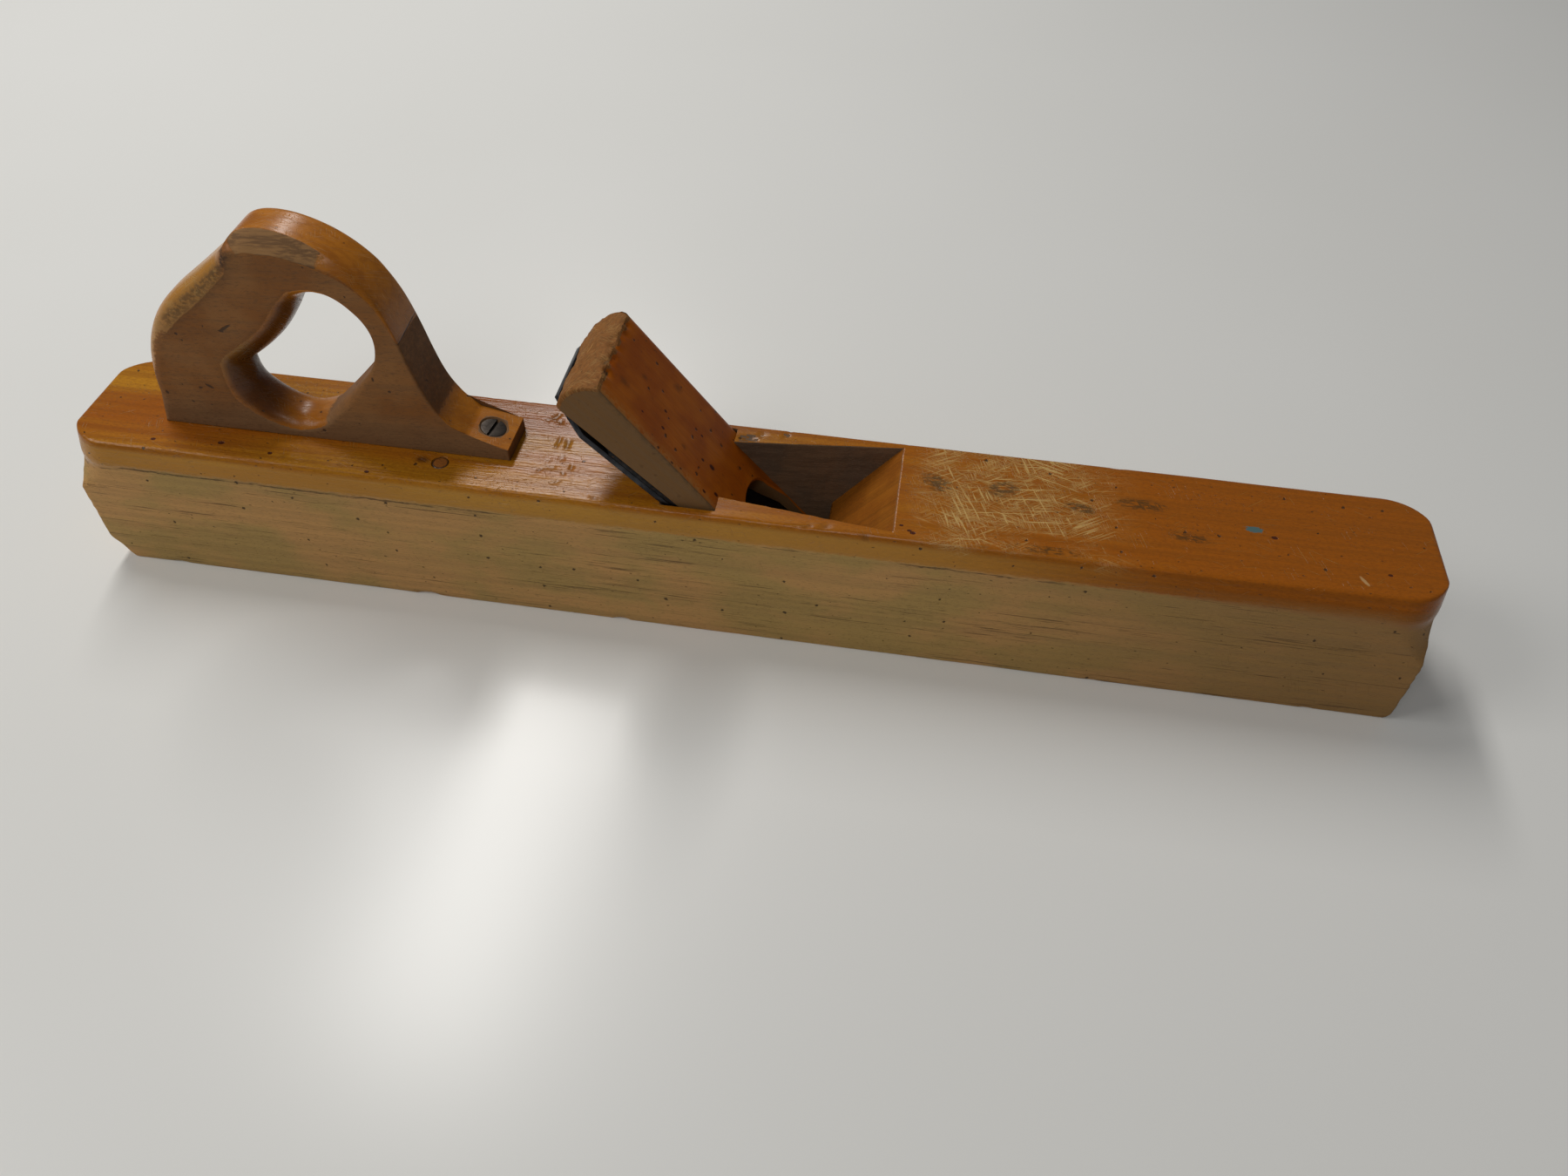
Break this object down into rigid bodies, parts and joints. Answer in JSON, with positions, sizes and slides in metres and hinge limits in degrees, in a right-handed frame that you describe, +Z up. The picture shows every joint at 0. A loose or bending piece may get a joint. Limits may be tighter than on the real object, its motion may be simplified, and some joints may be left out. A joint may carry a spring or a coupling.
{
  "type": "wooden try plane",
  "caption": "Long wooden try plane with closed handle, wedge and double iron; irons and wedge slide out of the throat.",
  "frame": {"origin": "middle of the sole", "axes": "+X towards the toe, +Y to the left hand of the user, +Z up from the sole"},
  "size_m": [0.65, 0.075, 0.1877],
  "materials": {
    "varnished_beech": "amber varnish over beech, worn on the top, bare and grey-brown on the sides",
    "plug_wood": "varnished end-grain plug",
    "handle_beech": "worn beech, varnish left on the upper edges",
    "wedge_beech": "varnished beech with a scarred top end",
    "iron_steel": "dark tool steel, dull",
    "cap_steel": "blackened steel, dull",
    "boss_brass": "tarnished brass",
    "screw_steel": "darkened steel screw"
  },
  "bodies": {
    "stock": {"body": "varnished_beech", "knot_plug": "plug_wood", "handle": "handle_beech", "handle_screw": "screw_steel"},
    "cutter": {"cutting_iron": "iron_steel"},
    "breaker": {"cap_iron": "cap_steel", "cap_iron_boss": "boss_brass"},
    "cap_screw": {"cap_iron_screw": "screw_steel"},
    "wedge": {"wedge": "wedge_beech"}
  },
  "joints": [
    {"name": "iron_slide", "type": "slide", "parent": "stock", "child": "cutter", "axis": [-0.7071, 0, 0.7071], "range_m": [0, 0.19]},
    {"name": "wedge_slide", "type": "slide", "parent": "cutter", "child": "wedge", "axis": [-0.7071, 0, 0.7071], "range_m": [0, 0.13]},
    {"name": "cap_iron_setback", "type": "slide", "parent": "cutter", "child": "breaker", "axis": [-0.7071, 0, 0.7071], "range_m": [0, 0.006]},
    {"name": "clamp_screw_turn", "type": "hinge", "parent": "breaker", "child": "cap_screw", "pos_m": [-0.01423, 0, 0.06223], "axis": [-0.7071, 0, -0.7071], "range_deg": [0, 360]}
  ]
}
